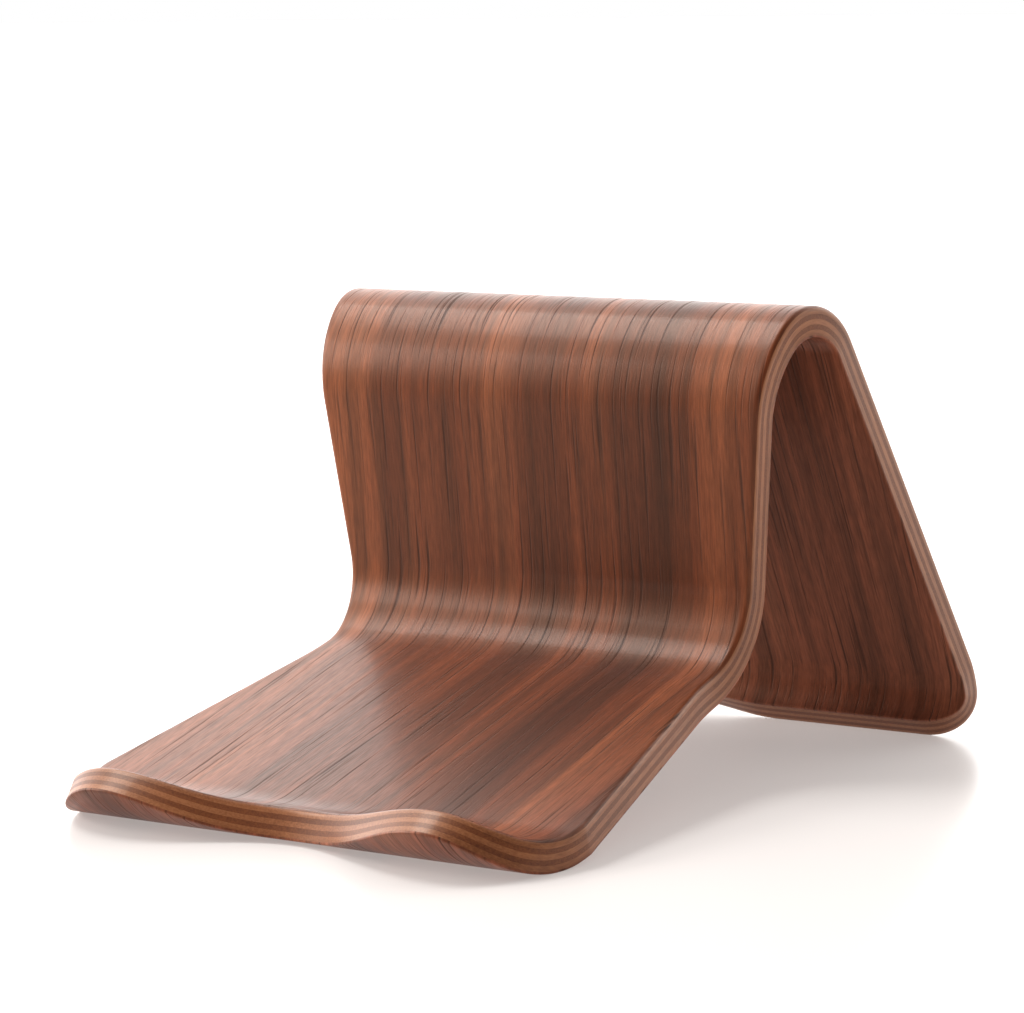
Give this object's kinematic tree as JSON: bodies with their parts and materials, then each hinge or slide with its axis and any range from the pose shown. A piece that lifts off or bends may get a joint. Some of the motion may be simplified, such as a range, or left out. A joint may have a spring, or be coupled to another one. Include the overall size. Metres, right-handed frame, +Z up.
{
  "type": "phone stand",
  "caption": "Free-standing phone stand moulded from one waisted sheet of walnut-faced plywood: wavy front lip, sloping plate, upright, rounded crest and sloping rear leg.",
  "frame": {"origin": "on the desk surface, under the middle of the stand's bounding box", "axes": "+Z up, +X across the stand, -Y towards the front lip, where the phone's lower edge rests"},
  "size_m": [0.119, 0.1384, 0.0824],
  "materials": {
    "walnut_face": "satin clear-lacquered walnut veneer",
    "walnut_back": "satin clear-lacquered walnut veneer",
    "light_ply": "sanded and lacquered light veneer edge",
    "dark_ply": "sanded and lacquered darker veneer edge"
  },
  "bodies": {
    "root": {"face_veneer": "walnut_face", "core_ply_1": "light_ply", "core_ply_2": "dark_ply", "core_ply_3": "light_ply", "core_ply_4": "dark_ply", "core_ply_5": "light_ply", "back_veneer": "walnut_back"}
  },
  "joints": []
}
